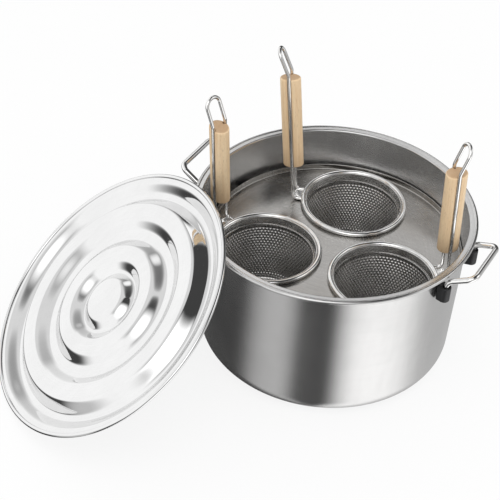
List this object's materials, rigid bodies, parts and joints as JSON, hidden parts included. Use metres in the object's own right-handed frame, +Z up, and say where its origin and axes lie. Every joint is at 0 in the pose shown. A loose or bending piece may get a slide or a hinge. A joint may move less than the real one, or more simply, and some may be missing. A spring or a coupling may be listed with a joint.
{
  "type": "pasta pot",
  "caption": "Wide steel pasta pot with bar handles, a plate carrying mesh strainer baskets on wooden grips, and a stamped steel lid leaning on its rim.",
  "frame": {"origin": "centre of the pot's underside, on the surface it stands on", "axes": "+Z up out of the pot's mouth, +X towards the right side handle, +Y to the back, away from the viewer"},
  "size_m": [0.5043, 0.4978, 0.3192],
  "materials": {
    "satin_steel": "satin stainless sheet",
    "plate_steel": "dull stainless sheet",
    "bright_steel": "polished wire and strip",
    "mirror_steel": "mirror-polished sheet",
    "mesh_steel": "punched sheet",
    "black_plastic": "matte black",
    "beech": "bare sanded beech"
  },
  "bodies": {
    "pot": {"pot_body": "satin_steel", "side_handle_right": "bright_steel", "side_handle_left": "bright_steel", "handle_socket_right_back": "black_plastic", "handle_socket_right_front": "black_plastic", "handle_socket_left_back": "black_plastic", "handle_socket_left_front": "black_plastic", "socket_stud_right_back": "bright_steel", "socket_stud_right_front": "bright_steel", "socket_stud_left_back": "bright_steel", "socket_stud_left_front": "bright_steel", "plate_lug_1": "satin_steel", "plate_lug_2": "satin_steel", "plate_lug_3": "satin_steel"},
    "plate": {"basket_plate": "plate_steel"},
    "basket_back": {"basket_back_ring": "bright_steel", "basket_back_collar": "bright_steel", "basket_back_mesh": "mesh_steel", "basket_back_handle_wire": "bright_steel", "basket_back_bridge": "bright_steel", "basket_back_grip": "beech"},
    "basket_left": {"basket_left_ring": "bright_steel", "basket_left_collar": "bright_steel", "basket_left_mesh": "mesh_steel", "basket_left_handle_wire": "bright_steel", "basket_left_bridge": "bright_steel", "basket_left_grip": "beech"},
    "basket_right": {"basket_right_ring": "bright_steel", "basket_right_collar": "bright_steel", "basket_right_mesh": "mesh_steel", "basket_right_handle_wire": "bright_steel", "basket_right_bridge": "bright_steel", "basket_right_grip": "beech"},
    "lid_body": {"lid": "mirror_steel"}
  },
  "joints": [
    {"name": "plate_lift", "type": "slide", "parent": "pot", "child": "plate", "axis": [0, 0, 1], "range_m": [0, 0.05]},
    {"name": "basket_back_lift", "type": "slide", "parent": "plate", "child": "basket_back", "axis": [0, 0, 1], "range_m": [0, 0.16]},
    {"name": "basket_left_lift", "type": "slide", "parent": "plate", "child": "basket_left", "axis": [0, 0, 1], "range_m": [0, 0.16]},
    {"name": "basket_right_lift", "type": "slide", "parent": "plate", "child": "basket_right", "axis": [0, 0, 1], "range_m": [0, 0.16]},
    {"name": "lid_away", "type": "slide", "parent": "pot", "child": "lid_body", "axis": [-0.431, -0.4889, 0.7585], "range_m": [0, 0.25]}
  ]
}
